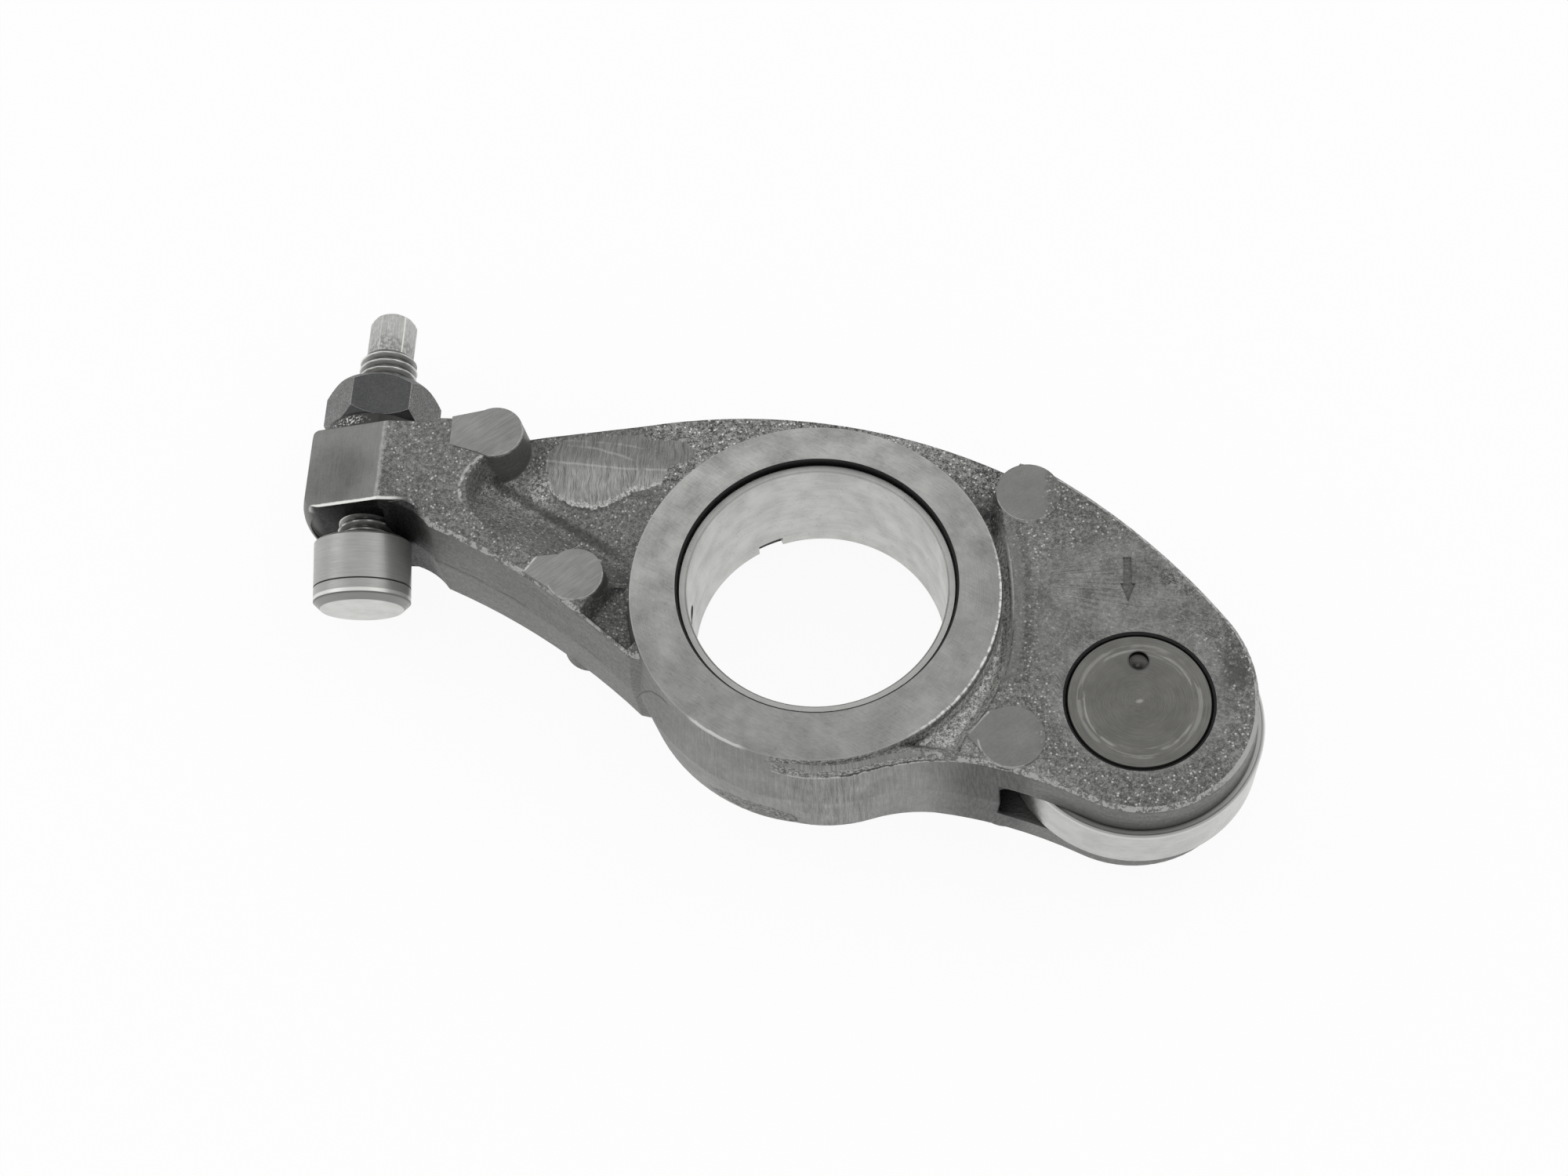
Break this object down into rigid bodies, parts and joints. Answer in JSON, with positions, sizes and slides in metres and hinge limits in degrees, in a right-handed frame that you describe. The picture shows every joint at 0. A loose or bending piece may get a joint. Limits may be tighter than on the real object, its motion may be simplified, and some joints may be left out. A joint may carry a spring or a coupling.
{
  "type": "roller rocker arm",
  "caption": "Forged rocker arm with a bushed shaft bore, a forked end holding a cam roller on a pressed pin, and an adjusting screw with lock nut and swivelling socket foot.",
  "frame": {"origin": "centre of the shaft bore, midway between the two boss faces", "axes": "+Z along the shaft bore, out of the side that carries the arrow; +Y along the adjusting screw towards its hexagon; +X along the arm towards the cam roller"},
  "size_m": [0.1588, 0.0965, 0.0262],
  "materials": {
    "forging": "shot-blasted dark forging with ground boss faces and pads",
    "bush": "satin bored",
    "pin": "turned, dark",
    "roller": "ground bright",
    "bronze": "turned",
    "screw": "bright, mottled",
    "nut": "blued",
    "foot": "ground bright"
  },
  "bodies": {
    "arm": {"rocker_body": "forging", "shaft_bush": "bush", "roller_pin": "pin"},
    "roller": {"cam_roller": "roller"},
    "floating_bush": {"roller_bush": "bronze"},
    "nut": {"lock_nut": "nut"},
    "screw": {"adjusting_screw": "screw"},
    "foot": {"socket_foot": "foot"}
  },
  "joints": [
    {"name": "roller_spin", "type": "hinge", "parent": "arm", "child": "roller", "pos_m": [0.0511, -0.019, 0], "axis": [0, 0, 1], "continuous": true},
    {"name": "bush_spin", "type": "hinge", "parent": "arm", "child": "floating_bush", "pos_m": [0.0511, -0.019, 0], "axis": [0, 0, 1], "continuous": true},
    {"name": "nut_turn", "type": "hinge", "parent": "arm", "child": "nut", "pos_m": [-0.0766, 0.0368, 0], "axis": [0, 1, 0], "continuous": true},
    {"name": "screw_feed", "type": "slide", "parent": "arm", "child": "screw", "axis": [0, -1, 0], "range_m": [0, 0.004]},
    {"name": "foot_swivel", "type": "hinge", "parent": "screw", "child": "foot", "pos_m": [-0.0766, 0.0065, 0], "axis": [1, 0, 0], "range_deg": [-24, 0]}
  ]
}
